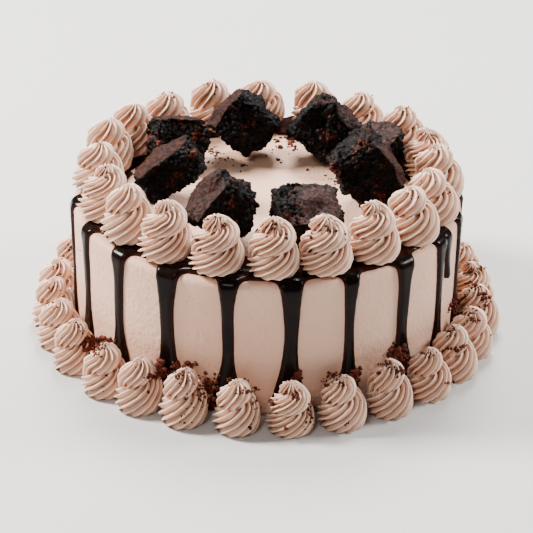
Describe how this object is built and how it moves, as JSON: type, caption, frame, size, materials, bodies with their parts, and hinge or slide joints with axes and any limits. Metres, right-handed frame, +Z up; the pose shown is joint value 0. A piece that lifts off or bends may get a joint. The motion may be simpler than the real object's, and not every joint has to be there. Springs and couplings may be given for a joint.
{
  "type": "ice cream cake",
  "caption": "Round frosted ice cream cake with chocolate glaze drips, piped swirls round its top edge and its foot, and brownie chunks on top.",
  "frame": {"origin": "centre of the flat underside, on the surface that the cake stands on", "axes": "+Z up, -Y towards the front as pictured, +X to the right seen from the front"},
  "size_m": [0.2501, 0.2501, 0.116],
  "materials": {
    "cake_frosting": null,
    "piped_frosting": null,
    "chocolate_glaze": null,
    "brownie": null
  },
  "bodies": {
    "root": {"cake_body": "cake_frosting", "chocolate_glaze": "chocolate_glaze", "top_swirl_01": "piped_frosting", "top_swirl_02": "piped_frosting", "top_swirl_03": "piped_frosting", "top_swirl_04": "piped_frosting", "top_swirl_05": "piped_frosting", "top_swirl_06": "piped_frosting", "top_swirl_07": "piped_frosting", "top_swirl_08": "piped_frosting", "top_swirl_09": "piped_frosting", "top_swirl_10": "piped_frosting", "top_swirl_11": "piped_frosting", "top_swirl_12": "piped_frosting", "top_swirl_13": "piped_frosting", "top_swirl_14": "piped_frosting", "top_swirl_15": "piped_frosting", "top_swirl_16": "piped_frosting", "top_swirl_17": "piped_frosting", "top_swirl_18": "piped_frosting", "top_swirl_19": "piped_frosting", "top_swirl_20": "piped_frosting", "foot_swirl_01": "piped_frosting", "foot_swirl_02": "piped_frosting", "foot_swirl_03": "piped_frosting", "foot_swirl_04": "piped_frosting", "foot_swirl_05": "piped_frosting", "foot_swirl_06": "piped_frosting", "foot_swirl_07": "piped_frosting", "foot_swirl_08": "piped_frosting", "foot_swirl_09": "piped_frosting", "foot_swirl_10": "piped_frosting", "foot_swirl_11": "piped_frosting", "foot_swirl_12": "piped_frosting", "foot_swirl_13": "piped_frosting", "foot_swirl_14": "piped_frosting", "foot_swirl_15": "piped_frosting", "foot_swirl_16": "piped_frosting", "foot_swirl_17": "piped_frosting", "foot_swirl_18": "piped_frosting", "foot_swirl_19": "piped_frosting", "foot_swirl_20": "piped_frosting", "foot_swirl_21": "piped_frosting", "foot_swirl_22": "piped_frosting", "foot_swirl_23": "piped_frosting", "foot_swirl_24": "piped_frosting", "foot_swirl_25": "piped_frosting", "foot_swirl_26": "piped_frosting", "foot_swirl_27": "piped_frosting", "foot_swirl_28": "piped_frosting", "brownie_1": "brownie", "brownie_2": "brownie", "brownie_3": "brownie", "brownie_4": "brownie", "brownie_5": "brownie", "brownie_6": "brownie", "brownie_7": "brownie", "brownie_8": "brownie"}
  },
  "joints": []
}
